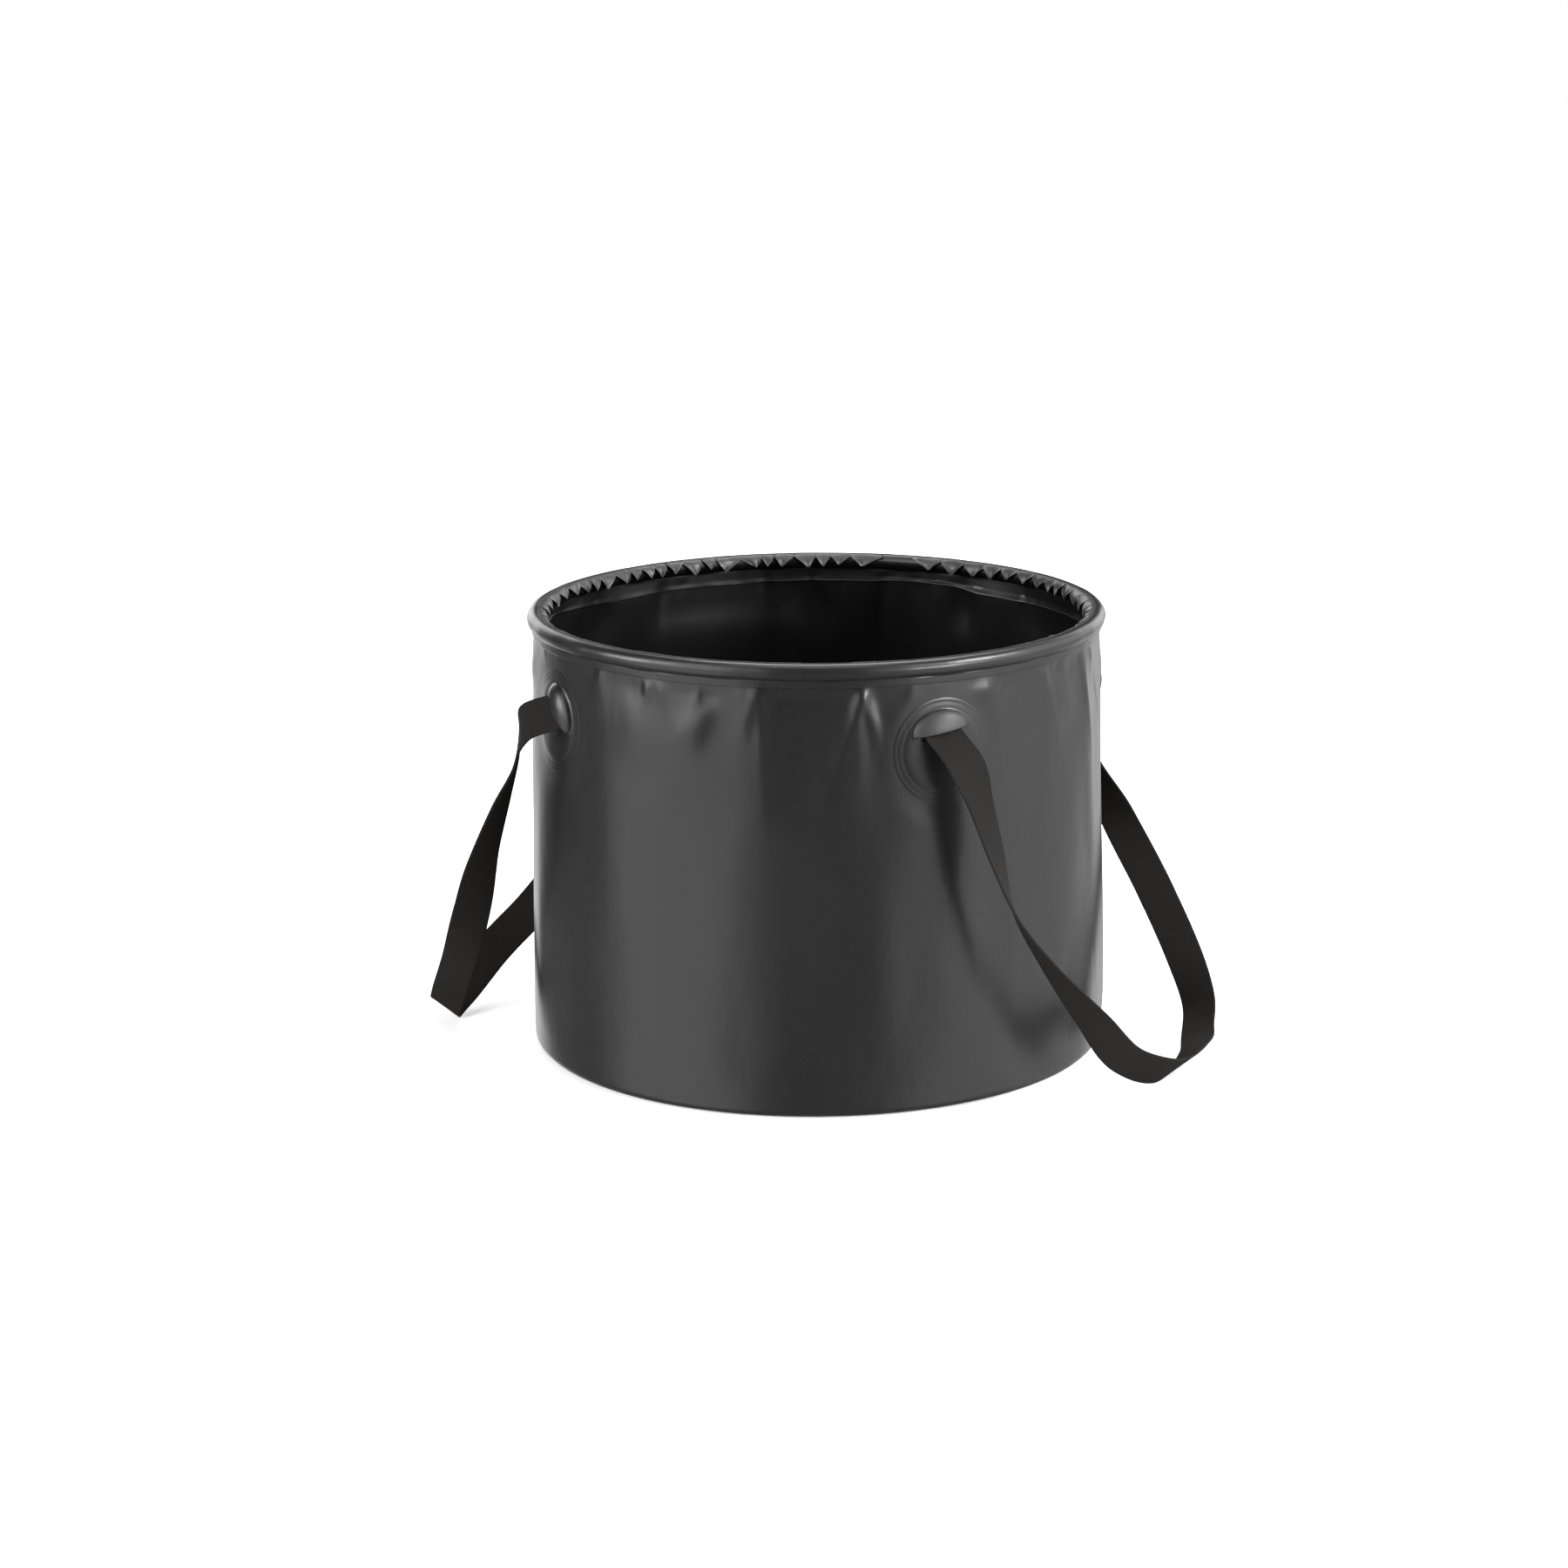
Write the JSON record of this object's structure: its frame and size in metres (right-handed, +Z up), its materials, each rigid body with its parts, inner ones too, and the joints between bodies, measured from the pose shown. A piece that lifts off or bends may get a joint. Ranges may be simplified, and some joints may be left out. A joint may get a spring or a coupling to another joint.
{
  "type": "folding camp bucket",
  "caption": "Folding round camp bucket in coated fabric with a stiffened rolled rim, welded base and webbing carry handles leaving the wall through moulded hoods.",
  "frame": {"origin": "Middle of the base panel's underside, on the floor that the bucket stands on.", "axes": "+Z up, +X through the middle of the right handle, -Y the front."},
  "size_m": [0.4234, 0.3067, 0.2339],
  "materials": {
    "coated_sheet": "satin coated fabric",
    "base_sheet": "satin coated fabric",
    "hoop_rod": "plain plastic rod",
    "moulded_hood": "satin moulded plastic",
    "webbing": "woven webbing"
  },
  "bodies": {
    "rim": {"side_wall": "coated_sheet", "rim_hoop": "hoop_rod", "rim_hem": "coated_sheet", "patch_base_front_right": "coated_sheet", "patch_base_front_left": "coated_sheet", "patch_base_rear_right": "coated_sheet", "patch_base_rear_left": "coated_sheet", "patch_hood_front_right": "moulded_hood", "patch_hood_front_left": "moulded_hood", "patch_hood_rear_right": "moulded_hood", "patch_hood_rear_left": "moulded_hood", "strap_tail_front_right": "webbing", "strap_tail_front_left": "webbing", "strap_tail_rear_right": "webbing", "strap_tail_rear_left": "webbing"},
    "base": {"base_panel": "base_sheet"},
    "handle_right": {"handle_strap_right": "webbing"},
    "handle_left": {"handle_strap_left": "webbing"}
  },
  "joints": [
    {"name": "base_lift", "type": "slide", "parent": "rim", "child": "base", "axis": [0, 0, 1], "range_m": [0, 0.13], "deforming": ["side_wall"]},
    {"name": "right_handle_swing", "type": "hinge", "parent": "rim", "child": "handle_right", "pos_m": [0.12112, 0, 0.184], "axis": [0, -1, 0], "range_deg": [0, 115]},
    {"name": "left_handle_swing", "type": "hinge", "parent": "rim", "child": "handle_left", "pos_m": [-0.11826, 0, 0.186], "axis": [0, 1, 0], "range_deg": [0, 115]}
  ]
}
